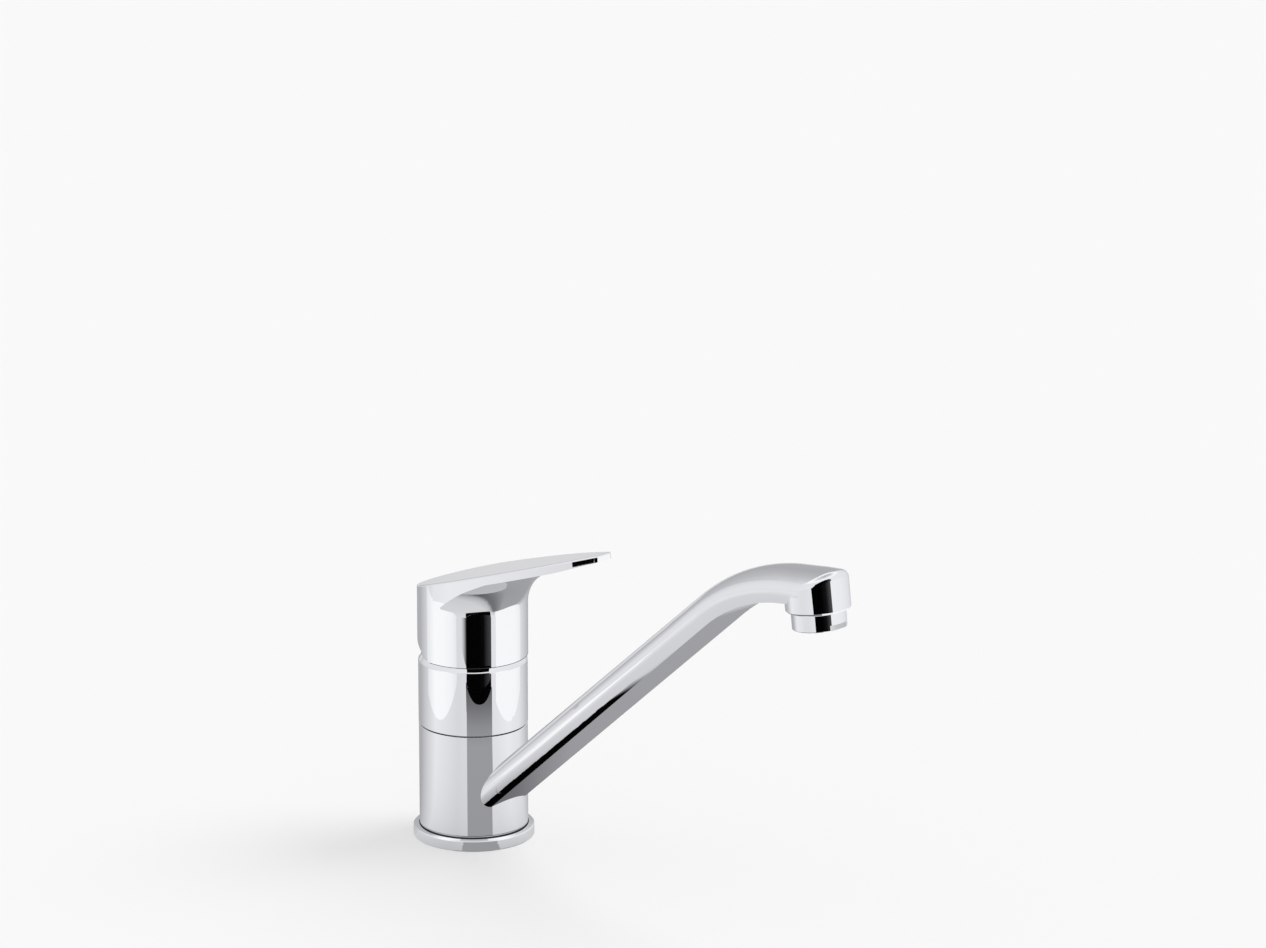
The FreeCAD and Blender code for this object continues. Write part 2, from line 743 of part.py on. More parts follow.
def aerator():
    """Screwed aerator sleeve with key flats, jet insert, screen and washer."""
    sleeve = turned("aerator_sleeve", [
        ("aerator_bore_radius - aerator_lip_width", "aerator_foot"),
        ("aerator_radius - edge_break", "aerator_foot"),
        ("aerator_radius", "aerator_foot + edge_break"),
        ("aerator_radius", "-aerator_seam - edge_break"),
        ("aerator_radius - edge_break", "-aerator_seam"),
        ("aerator_thread_radius", "-aerator_seam"),
        ("aerator_thread_radius", "aerator_thread_length"),
        ("aerator_bore_radius", "aerator_thread_length"),
        ("aerator_bore_radius", "insert_foot"),
        ("aerator_bore_radius - aerator_lip_width", "insert_foot"),
    ])
    depth = "sqrt(aerator_radius * aerator_radius - key_flat_half_width * key_flat_half_width)"
    length = "2 * (aerator_radius + overrun)"
    flats = [
        place(block(side + "_key_flat", "overrun", length, "key_flat_height + overrun"),
              x, "-aerator_radius - overrun", "aerator_foot - overrun")
        for side, x in (("front", depth), ("rear", "-%s - overrun" % depth))]
    keep("aerator_housing", place_on_nose(cut("aerator_cut", sleeve, flats)))

    disc = ring("insert_disc", "jet_radius", "insert_radius", "insert_foot", "screen_foot")
    jets = []
    for count, circle in zip(JETS_PER_RING, ("inner_jet_circle_radius", "outer_jet_circle_radius")):
        for turn in range(count):
            angle = 360 * turn / count
            jets.append(bar_at(
                "jet_%d_%d" % (count, turn), "jet_radius", "insert_foot - overrun",
                "screen_foot + overrun", "%s * cos(%r)" % (circle, angle),
                "%s * sin(%r)" % (circle, angle)))
    keep("aerator_insert", place_on_nose(cut("insert_cut", disc, jets)))
    keep("aerator_screen", place_on_nose(ring(
        "aerator_screen", "jet_radius", "insert_radius", "screen_foot",
        "screen_foot + screen_thickness")))
    keep("aerator_washer", place_on_nose(ring(
        "aerator_washer", "washer_bore_radius", "aerator_thread_radius",
        "aerator_thread_length", "aerator_seat_depth")))


def cartridge_shell():
    """Base plate, housing and seals that stay still in the cup, and the nut over them."""
    def port_ring(name, x, y, low, high):
        seal = ring(name, "port_radius", "port_radius + port_seal_wall", low, high)
        return place(seal, x, y)

    keep("port_seals", joined("port_seals_group", on_ports(lambda port, x, y: port_ring(
        port + "_port_seal", x, y, "cup_floor_height", "cup_floor_height + port_seal_height"))))
    keep("disc_seals", joined("disc_seals_group", on_ports(lambda port, x, y: port_ring(
        port + "_disc_seal", x, y, "plate_top - disc_seal_height", "plate_top"))))

    plate = bar_at("plate_blank", "cartridge_radius", "plate_foot", "plate_top")
    pegs = on_sides(lambda side, y: bar_at(
        side + "_peg", "peg_radius", "plate_foot - peg_length", "plate_top", "peg_forward", y),
        "peg_spread")
    recess = "port_radius + port_seal_wall"
    tools = on_ports(lambda port, x, y: bar_at(
        port + "_plate_port", "port_radius", "plate_foot - overrun", "plate_top + overrun", x, y))
    tools += on_ports(lambda port, x, y: bar_at(
        port + "_seal_recess", recess, "plate_foot - overrun", "plate_foot + port_seal_recess", x, y))
    tools += on_ports(lambda port, x, y: bar_at(
        port + "_disc_recess", recess, "plate_top - disc_seal_height", "plate_top + overrun", x, y))
    keep("cartridge_base", cut("plate_cut", joined("plate_with_pegs", [plate, *pegs]), tools))

    keep("cartridge_housing", turned("cartridge_housing", [
        ("housing_bore_radius", "plate_top"),
        ("cartridge_radius", "plate_top"),
        ("cartridge_radius", "roof_foot"),
        ("housing_roof_radius", "roof_foot"),
        ("housing_roof_radius", "roof_top"),
        ("collar_radius", "roof_top"),
        ("collar_radius", "roof_top + collar_height"),
        ("rotor_hole", "roof_top + collar_height"),
        ("rotor_hole", "roof_foot"),
        ("housing_bore_radius", "roof_foot"),
    ]))
    nut = ring("nut_blank", "nut_bore", "nut_radius", "roof_foot", "nut_top")
    notches = []
    for turn in range(NUT_NOTCHES // 2):
        slot = block("nut_notch_%d" % turn, "2 * nut_radius + 2 * overrun", "nut_notch_width",
                     "nut_notch_depth + overrun")
        angle = 360 * turn / NUT_NOTCHES
        half = "(nut_radius + overrun)"
        place(slot,
              "-%s * cos(%r) + nut_notch_width / 2 * sin(%r)" % (half, angle, angle),
              "-%s * sin(%r) - nut_notch_width / 2 * cos(%r)" % (half, angle, angle),
              "nut_top - nut_notch_depth", turn="%r" % angle, axis=(0, 0, 1))
        notches.append(slot)
    keep("cartridge_nut", cut("nut_cut", nut, notches))
    keep("bonnet", turned("bonnet", [
        ("nut_radius + bonnet_bore_gap", "rim_height"),
        ("bonnet_radius", "rim_height"),
        ("bonnet_shoulder_radius", "rim_height + bonnet_shoulder_height"),
        ("bonnet_brow_radius", "rim_height + bonnet_brow_height"),
        ("bonnet_hole_radius", "rim_height + bonnet_crown_height"),
        ("bonnet_hole_radius", "rim_height + bonnet_crown_height - bonnet_wall"),
        ("nut_radius - bonnet_wall", "rim_height + bonnet_brow_height - bonnet_wall"),
        ("nut_radius + bonnet_bore_gap", "rim_height + bonnet_shoulder_height"),
    ]))


def ceramic_discs():
    """Fixed disc with its ports, and the moving disc with its carrier at the closed end."""
    fixed = bar_at("fixed_disc_blank", "fixed_disc_radius", "plate_top", "fixed_top")
    ports = on_ports(lambda port, x, y: bar_at(
        port + "_disc_port", "port_radius", "plate_top - overrun", "fixed_top + overrun", x, y))
    keep("fixed_disc", cut("fixed_disc_cut", fixed, ports))

    moving = bar_at("moving_disc_blank", "moving_disc_radius", "moving_foot", "moving_top",
                    "-stroke_half")
    mixing = bar_at("mixing_recess_tool", "mixing_radius", "moving_foot - overrun",
                    "moving_foot + mixing_recess", "-stroke_half")
    keep("moving_disc", cut("moving_disc_cut", moving, [mixing]))

    disc = bar_at("carrier_blank", "carrier_radius", "moving_top", "carrier_top", "-stroke_half")
    rails = on_sides(lambda side, y: block_at(
        side + "_rail", "rail_length", "rail_width", "moving_top", "carrier_top + rail_height",
        "-stroke_half", y), "rail_spread")
    socket = bar_at("ball_socket", "stem_ball_radius + ball_gap", "socket_floor",
                    "carrier_top + overrun", "-stroke_half")
    keep("disc_carrier", cut("carrier_cut", joined("carrier_with_rails", [disc, *rails]), [socket]))


def lever_rotor():
    """Rotor that turns in the housing, with rail grooves, a stem slot and the pivot pin."""
    blank = turned("rotor_blank", [
        ("0", "rotor_foot"),
        ("rotor_flange_radius", "rotor_foot"),
        ("rotor_flange_radius", "rotor_flange_top"),
        ("rotor_neck_radius", "rotor_flange_top"),
        ("rotor_neck_radius", "rotor_top"),
        ("0", "rotor_top"),
    ])
    slot = block_at("stem_slot", "2 * slot_half_length", "2 * slot_half_width",
                    "rotor_foot - overrun", "rotor_top + overrun")
    grooves = on_sides(lambda side, y: block_at(
        side + "_rail_groove", "2 * (rotor_flange_radius + overrun)", "rail_width + 2 * slide_gap",
        "rotor_foot - overrun", "carrier_top + rail_height + slide_gap", "0", y), "rail_spread")
    hole_length = "2 * (rotor_neck_radius + overrun)"
    hole = place(rod("rotor_pin_hole", "pin_radius + pin_gap", hole_length),
                 "0", "(%s) / 2" % hole_length, "pivot_height", turn="90", axis=(1, 0, 0))
    keep("rotor", cut("rotor_cut", blank, [slot, *grooves, hole]))
    keep("pivot_pin", place(rod("pivot_pin", "pin_radius", "pin_length"),
                            "0", "pin_length / 2", "pivot_height",
                            turn="90", axis=(1, 0, 0)))


def lever_stem():
    """Square stem on the pivot pin, with a ball that drives the disc carrier."""
    bar = place_on_stem(
        block("stem_bar", "stem_depth", "stem_width", "stem_heel + stem_top"),
        "-stem_heel", "-stem_depth / 2", "-stem_width / 2")
    neck = place_on_stem(rod("stem_neck", "stem_neck_radius", "stem_arm"), "-stem_arm")
    ball = doc.addObject("Part::Sphere", "stem_ball")
    bind(ball, Radius="stem_ball_radius")
    place_on_stem(ball, "-stem_arm")
    eye_length = "stem_width + 2 * overrun"
    eye = place(rod("stem_eye", "pin_radius + pin_gap", eye_length),
                "0", "(%s) / 2" % eye_length, "pivot_height", turn="90", axis=(1, 0, 0))
    keep("lever_stem", cut("stem_cut", joined("stem_solid", [bar, neck, ball]), [eye]))


def lever_handle():
    """Hollow cap that flares into a tapered lever, on a boss around the stem."""
    blank = plan("lever_plan", [
        ("lever_reach", "-lever_tip_half_width"),
        ("lever_reach", "lever_tip_half_width"),
        ("0", "skirt_radius"),
        ("-skirt_radius", "0"),
        ("0", "-skirt_radius"),
    ], "skirt_height", "handle_top", {
        1: "lever_side_radius", 2: "skirt_radius", 3: "skirt_radius", 4: "lever_side_radius"})
    back, front = "-(skirt_radius + overrun)", "(lever_reach + overrun)"
    taper = "(lever_reach - lever_tip_taper)"
    width = "2 * (skirt_radius + overrun)"

    def sloped(height, x):
        return "%s + %s * tan(lever_angle)" % (height, x)

    blade = slab("lever_blade", [
        (back, sloped("blade_foot", back)),
        (taper, sloped("blade_foot", taper)),
        (front, sloped("lever_height - lever_tip_depth", front)),
        (front, sloped("lever_height", front)),
        (back, sloped("lever_height", back)),
    ], width)
    over = slab("over_lever", [
        (back, sloped("lever_height", back)),
        (front, sloped("lever_height", front)),
        (front, sloped("lever_height", front) + " + handle_span"),
        (back, sloped("lever_height", back) + " + handle_span"),
    ], "2 * handle_span")
    skirt = bar_at("skirt_blank", "skirt_radius", "skirt_height", "handle_top")
    flare = bar_at("flare_blank", "flare_end_x", "flare_height", "handle_top")
    hollow = turned("flare_hollow", [
        ("skirt_radius", "flare_height"),
        ("flare_end_x + overrun", "flare_height"),
        ("flare_end_x + overrun", "flare_end_z"),
        ("flare_end_x", "flare_end_z"),
        ("flare_bend_x", "flare_bend_z"),
    ], {3: "flare_sweep_radius", 4: "flare_bend_radius"})
    neck = joined("lever_neck", [skirt, cut("flare_cut", flare, [hollow])])
    lever = joined("lever_rough", [blade, cut("lever_neck_cut", neck, [over])])
    outer = common("lever_outer", blank, lever)
    tip = softened("lever_tip_round", outer, "lever_tip_corner", lambda edge: (
        min(vertex.X for vertex in edge.Vertexes) > value("lever_reach") - value("edge_break")
        and abs(edge.Vertexes[0].Y - edge.Vertexes[-1].Y) < value("edge_break")))
    slope = math.tan(math.radians(value("lever_angle")))

    def on_top(edge):
        return all(abs(vertex.Z - value("lever_height") - slope * vertex.X) < value("overrun") / 100
                   for vertex in edge.Vertexes)

    eased = softened("lever_edges_round", tip, "lever_edge_radius", on_top)
    cavity = turned("handle_cavity", [
        ("0", "skirt_height - overrun"),
        ("skirt_radius - skirt_lip", "skirt_height - overrun"),
        ("skirt_radius - skirt_lip", "skirt_height + skirt_lip_height"),
        ("skirt_bore", "skirt_height + skirt_lip_height + skirt_taper_height"),
        ("skirt_bore", "cavity_height"),
        ("0", "cavity_height"),
    ])
    relief = slab("handle_relief", [
        ("-relief_start", "skirt_height"),
        ("-relief_start - handle_span", "skirt_height + handle_span * tan(relief_angle)"),
        ("-relief_start - handle_span", "skirt_height - handle_span"),
        ("-relief_start", "skirt_height - handle_span"),
    ], width)
    shell = cut("handle_shell", eased, [cavity, relief])
    boss = place_on_stem(rod("handle_boss", "boss_radius", "boss_top - boss_foot"), "boss_foot")
    socket = place_on_stem(
        block("stem_socket", "stem_depth + 2 * socket_gap", "stem_width + 2 * socket_gap", "stem_top"),
        "socket_gap", "-stem_depth / 2 - socket_gap", "-stem_width / 2 - socket_gap")
    reach = "(skirt_radius + overrun + stem_top)"
    screw_hole = rear_bar("set_screw_hole", "set_screw_radius + thread_gap", "0", reach)
    plug_hole = rear_bar("plug_hole", "plug_radius + thread_gap", "boss_radius + overrun", reach)
    keep("handle", cut("handle_cut", joined("handle_with_boss", [shell, boss]),
                       [socket, screw_hole, plug_hole]))


def rear_bar(name, radius, start, stop):
    """A round bar square to the stem at the set screw, from one distance behind it to another."""
    return place(
        rod(name, radius, "(%s) - (%s)" % (stop, start)),
        "set_screw_height * sin(lift_half_angle) - (%s) * cos(lift_half_angle)" % start, "0",
        "pivot_height + set_screw_height * cos(lift_half_angle) + (%s) * sin(lift_half_angle)" % start,
        turn="90 - lift_half_angle", axis=(0, -1, 0))


def handle_fixings():
    """Grub screw against the stem, and the plug that closes its hole."""
    tip = "stem_depth / 2"
    screw = rear_bar("set_screw_blank", "set_screw_radius", tip, tip + " + set_screw_length")
    key = rear_bar("set_screw_hex", "hex_radius", tip + " + set_screw_length - hex_depth",
                   tip + " + set_screw_length + overrun")
    keep("set_screw", cut("set_screw_cut", screw, [key]))
    keep("index_plug", rear_bar("index_plug", "plug_radius", "plug_face - plug_length", "plug_face"))


deck_flange()
valve_body()
swivel_seals()
spout()
aerator()
cartridge_shell()
ceramic_discs()
lever_rotor()
lever_stem()
lever_handle()
handle_fixings()
doc.recompute()

for thing in doc.Objects:
    if "Invalid" in thing.State or "Error" in thing.State:
        raise RuntimeError("%s failed to build" % thing.Label)
for label, thing in pieces.items():
    if thing.Shape.isNull() or not thing.Shape.isValid():
        raise RuntimeError("%s has no valid shape" % label)

os.makedirs("parts", exist_ok=True)
for label, thing in pieces.items():
    thing.Shape.exportStep(os.path.join("parts", label + ".step"))
    print("%-18s solids %d  volume %.1f" % (label, len(thing.Shape.Solids), thing.Shape.Volume))
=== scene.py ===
import json
import math

import bpy
from mathutils import Matrix, Vector

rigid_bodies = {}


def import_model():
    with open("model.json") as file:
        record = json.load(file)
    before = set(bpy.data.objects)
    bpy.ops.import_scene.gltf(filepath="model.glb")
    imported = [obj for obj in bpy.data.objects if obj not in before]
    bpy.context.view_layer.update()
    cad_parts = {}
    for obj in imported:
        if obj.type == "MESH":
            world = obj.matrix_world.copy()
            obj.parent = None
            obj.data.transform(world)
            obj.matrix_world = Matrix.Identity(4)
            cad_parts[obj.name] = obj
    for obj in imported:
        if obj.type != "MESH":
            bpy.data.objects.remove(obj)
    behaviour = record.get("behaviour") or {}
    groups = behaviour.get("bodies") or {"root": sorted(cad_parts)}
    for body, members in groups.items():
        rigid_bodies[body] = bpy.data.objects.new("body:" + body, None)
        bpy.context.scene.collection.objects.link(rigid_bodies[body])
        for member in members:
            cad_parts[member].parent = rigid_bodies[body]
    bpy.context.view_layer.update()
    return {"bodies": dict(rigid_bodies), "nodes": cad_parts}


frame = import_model()

MM = 0.001


def linear(hex_colour):
    """An sRGB hex colour as linear red, green, blue and full opacity."""
    values = [int(hex_colour[i:i + 2], 16) / 255 for i in (0, 2, 4)]
    return [v / 12.92 if v <= 0.04045 else ((v + 0.055) / 1.055) ** 2.4 for v in values] + [1.0]


def node(tree, kind, settings=None, inputs=None, links=None, tones=()):
    """Add a node, set its properties and sockets, link other nodes' outputs into it, and give a ramp
    its tones at their places from 0 to 1."""
    made = tree.nodes.new(kind)
    for name, setting in (settings or {}).items():
        setattr(made, name, setting)
    for name, number in (inputs or {}).items():
        made.inputs[name].default_value = number
    for name, output in (links or {}).items():
        tree.links.new(output, made.inputs[name])
    for number, (spot, tone) in enumerate(tones):
        stops = made.color_ramp.elements
        stop = stops[number] if number < 2 else stops.new(spot)
        stop.position, stop.color = spot, linear(tone)
    return made


def empty_material(name):
    """A material with only its output node."""
    material = bpy.data.materials.new(name)
    material.use_nodes = True
    tree = material.node_tree
    tree.nodes.clear()
    return material, tree, node(tree, "ShaderNodeOutputMaterial")


def finish_material(name, colour, metallic, roughness, rough_spread, grain_mm, grain_depth_mm, ior=None):
    """A surface whose fine grain stirs its gloss and, a little, its relief."""
    material, tree, output = empty_material(name)
    place = node(tree, "ShaderNodeTexCoord")
    grain = node(tree, "ShaderNodeTexNoise",
                 inputs={"Scale": 1 / (grain_mm * MM), "Detail": 3.0, "Roughness": 0.55},
                 links={"Vector": place.outputs["Object"]})
    gloss = node(tree, "ShaderNodeMapRange",
                 inputs={"To Min": max(roughness - rough_spread, 0.0), "To Max": roughness + rough_spread},
                 links={"Value": grain.outputs["Fac"]})
    relief = node(tree, "ShaderNodeBump", inputs={"Strength": 0.2, "Distance": grain_depth_mm * MM},
                  links={"Height": grain.outputs["Fac"]})
    inputs = {"Base Color": linear(colour), "Metallic": metallic}
    if ior is not None:
        inputs["IOR"] = ior
    shader = node(tree, "ShaderNodeBsdfPrincipled", inputs=inputs,
                  links={"Roughness": gloss.outputs["Result"], "Normal": relief.outputs["Normal"]})
    tree.links.new(shader.outputs["BSDF"], output.inputs["Surface"])
    return material


# Polished chrome plate over cast brass: a clear, faintly blue mirror. Buffing leaves a very slight
# wave, drawn coarser than it is so that it shows, and it keeps the mirror from looking computed.
polished_chrome = finish_material("polished chrome plate", "F8F9FB", metallic=1.0, roughness=0.02,
                                  rough_spread=0.01, grain_mm=9.0, grain_depth_mm=0.003)
# Turned brass: warm yellow metal with fine tool marks that spread the highlight.
turned_brass = finish_material("turned brass", "C8A558", metallic=1.0, roughness=0.28,
                               rough_spread=0.08, grain_mm=0.8, grain_depth_mm=0.01)
# Drawn stainless steel: grey metal with a satin sheen.
satin_steel = finish_material("satin stainless steel", "B9BABB", metallic=1.0, roughness=0.32,
                              rough_spread=0.08, grain_mm=0.5, grain_depth_mm=0.008)
# Lapped alumina: off-white and nearly matt, with a soft edge to its highlight.
lapped_alumina = finish_material("lapped alumina", "EEECE4", metallic=0.0, roughness=0.3,
                                 rough_spread=0.05, grain_mm=1.5, grain_depth_mm=0.004, ior=1.77)
# Moulded acetal: milky and slightly waxy.
moulded_acetal = finish_material("moulded acetal", "DEDDD6", metallic=0.0, roughness=0.42,
                                 rough_spread=0.08, grain_mm=1.2, grain_depth_mm=0.01, ior=1.48)
# Moulded nylon: dark grey with a fine die texture.
moulded_nylon = finish_material("moulded nylon", "343536", metallic=0.0, roughness=0.5,
                                rough_spread=0.08, grain_mm=0.6, grain_depth_mm=0.015, ior=1.53)
# Moulded gloss ABS: grey, with the soft shine of a polished mould.
gloss_abs = finish_material("moulded gloss ABS", "8B8D8F", metallic=0.0, roughness=0.2,
                            rough_spread=0.05, grain_mm=2.0, grain_depth_mm=0.004, ior=1.54)
# Moulded nitrile rubber: black and dull, a little dusty in its grain.
nitrile_rubber = finish_material("moulded nitrile rubber", "1B1B1C", metallic=0.0, roughness=0.62,
                                 rough_spread=0.1, grain_mm=0.7, grain_depth_mm=0.02, ior=1.52)

FINISHES = {
    polished_chrome: ("base_ring", "valve_body", "bonnet", "spout", "aerator_housing", "handle"),
    turned_brass: ("cartridge_nut", "lever_stem"),
    satin_steel: ("aerator_screen", "pivot_pin", "set_screw"),
    lapped_alumina: ("fixed_disc", "moving_disc"),
    moulded_acetal: ("cartridge_base", "cartridge_housing", "rotor", "disc_carrier", "aerator_insert"),
    moulded_nylon: ("lower_slip_ring", "upper_slip_ring"),
    gloss_abs: ("index_plug",),
    nitrile_rubber: ("deck_gasket", "lower_spout_seal", "upper_spout_seal", "port_seals", "disc_seals",
                     "aerator_washer"),
}


def dress_nodes():
    """Give every node its finish."""
    for material, names in FINISHES.items():
        for name in names:
            piece = frame["nodes"][name]
            piece.data.materials.clear()
            piece.data.materials.append(material)


def card(name, corners, material, marks=((0, 0), (1, 0), (1, 1), (0, 1)), faces=None, body=None):
    """A studio card, its corners in millimetres, that only the metal's reflections show.
    Its marks run from 0 to 1 along and across it, for the tones of a graded card.
    One that is close to a moving body goes with it."""
    mesh = bpy.data.meshes.new(name)
    mesh.from_pydata([Vector(corner) * MM for corner in corners], [], faces or [range(len(corners))])
    layer = mesh.uv_layers.new(name="marks")
    for loop, spot in zip(mesh.loops, layer.data):
        spot.uv = marks[loop.vertex_index]
    made = bpy.data.objects.new(name, mesh)
    bpy.context.scene.collection.objects.link(made)
    mesh.materials.append(material)
    made.visible_camera = False
    made.visible_diffuse = False
    made.visible_shadow = False
    made.visible_transmission = False
    if body is not None:
        made.parent = frame["bodies"][body]


def standing(name, start, end, material, top, foot=0):
    """An upright card between two points of the floor, up to a level edge or to a hollow one."""
    edge = top if isinstance(top, tuple) else ((0, top), (1, top))
    marks = [(0, foot), (1, foot)] + list(reversed(edge))
    highest = max(height for _, height in edge)
    first, last = Vector((*start, 0)), Vector((*end, 0))
    corners = [first.lerp(last, along) + Vector((0, 0, height)) for along, height in marks]
    card(name, corners, material, [(along, height / highest) for along, height in marks])


def collar(name, start, end, material, turns=(0, 360), body=None):
    """A round card about the body's axis between two circles, each given by radius and height, all
    round or between two turns in degrees."""
    steps = 96
    first, last = turns
    angles = [math.radians(first + (last - first) * step / steps) for step in range(steps + 1)]
    corners = [(radius * math.cos(angle), radius * math.sin(angle), height)
               for angle in angles for radius, height in (start, end)]
    faces = [(i, i + 2, i + 3, i + 1) for i in range(0, 2 * steps, 2)]
    card(name, corners, material, [(0, i % 2) for i in range(len(corners))], faces, body)


def card_material(name, tones, way="X", reach_mm=None, back_only=False):
    """Card that is graded along (X) or across (Y). With a reach, only metal between its nearest and
    its farthest distance shows the card, and where asked only from behind it."""
    material, tree, output = empty_material(name)
    place = node(tree, "ShaderNodeTexCoord")
    marks = node(tree, "ShaderNodeSeparateXYZ", links={"Vector": place.outputs["UV"]})
    grade = node(tree, "ShaderNodeValToRGB", links={"Fac": marks.outputs[way]}, tones=tones)
    glow = node(tree, "ShaderNodeEmission", links={"Color": grade.outputs["Color"]})
    shown = glow.outputs["Emission"]
    if reach_mm is not None:
        nearest, farthest = reach_mm
        path = node(tree, "ShaderNodeLightPath")
        within = node(tree, "ShaderNodeMath", {"operation": "COMPARE"},
                      {1: (nearest + farthest) / 2 * MM, 2: (farthest - nearest) / 2 * MM},
                      {0: path.outputs["Ray Length"]})
        if back_only:
            side = node(tree, "ShaderNodeNewGeometry")
            within = node(tree, "ShaderNodeMath", {"operation": "MULTIPLY"},
                          links={0: within.outputs["Value"], 1: side.outputs["Backfacing"]})
        clear = node(tree, "ShaderNodeBsdfTransparent")
        mixed = node(tree, "ShaderNodeMixShader",
                     links={"Fac": within.outputs["Value"], 1: clear.outputs["BSDF"], 2: shown})
        shown = mixed.outputs["Shader"]
    tree.links.new(shown, output.inputs["Surface"])
    return material


# Tones that the metal shows around the object, by turns from the back, anticlockwise seen from above:
# those of the paper close by, of the paper far off, and of the room above the paper
PAPER_TONES = ((0.0, "B4B4B7"), (0.15, "F2F2F4"), (0.23, "E9E9EB"), (0.29, "E0E0E2"), (0.5, "EAEAEC"),
               (0.58, "F4F4F6"), (0.67, "ECECEE"), (0.75, "CDCDD0"), (0.83, "B0B0B3"), (1.0, "B4B4B7"))
FAR_TONES = ((0.0, "DADADC"), (0.11, "E6E6E8"), (0.3, "E4E4E6"), (0.48, "F4F4F5"), (0.62, "F0F0F1"),
             (0.7, "E6E6E8"), (0.8, "D8D8DA"), (1.0, "DADADC"))
ROOM_TONES = ((0.0, "D6D6D8"), (0.06, "E3E3E5"), (0.12, "E7E7E9"), (0.5, "EEEEF0"), (0.78, "E6E6E8"),
              (0.84, "B4B4B7"), (0.9, "AEAEB1"), (0.95, "BCBCBF"), (1.0, "D0D0D2"))
# White ceiling, by its height from level (0) to overhead (1)
CEILING_TONES = ((0.0, "FFFFFF"), (0.84, "FFFFFF"), (0.94, "D6D6D9"), (1.0, "B8B8BC"))
# Painted shade that the metal shows on the paper met steeply from above, across the spout from the right
# to the left looking to its outlet
UNDER_SPOUT_SHADE_TONES = ((0.0, "DCDCDE"), (0.2, "CECED0"), (0.31, "C2C2C4"), (0.45, "77777A"), (0.55, "77777A"),
               (0.7, "868689"), (0.85, "98989B"), (1.0, "A6A6A9"))
UNDER_SIDE = 60 * MM

BLACK = "030303"
PAPER_WHITE = "F9F9F9"
# The part of the paper's white that no shadow takes away
PAPER_GLOW = 0.4
# Distances between which the close tones turn into the far ones
CLOSE_EDGE, FAR_EDGE = 450 * MM, 800 * MM
# Slants, from 0 for plumb to 1 for level, over which the painted shade under the spout and the painted
# dark reflection under the arm end, and the heights above the paper over which that painted line ends
STEEP, NOT_STEEP = 0.48, 0.6
PLUMB, NOT_PLUMB = 0.1, 0.12
LINE_WHOLE, LINE_GONE = 97 * MM, 113 * MM
# The foot's own shade on the paper: how fast it fades, and the least light in it
FOOT_SHADE = 9 * MM
FOOT_LIGHT = 0.7


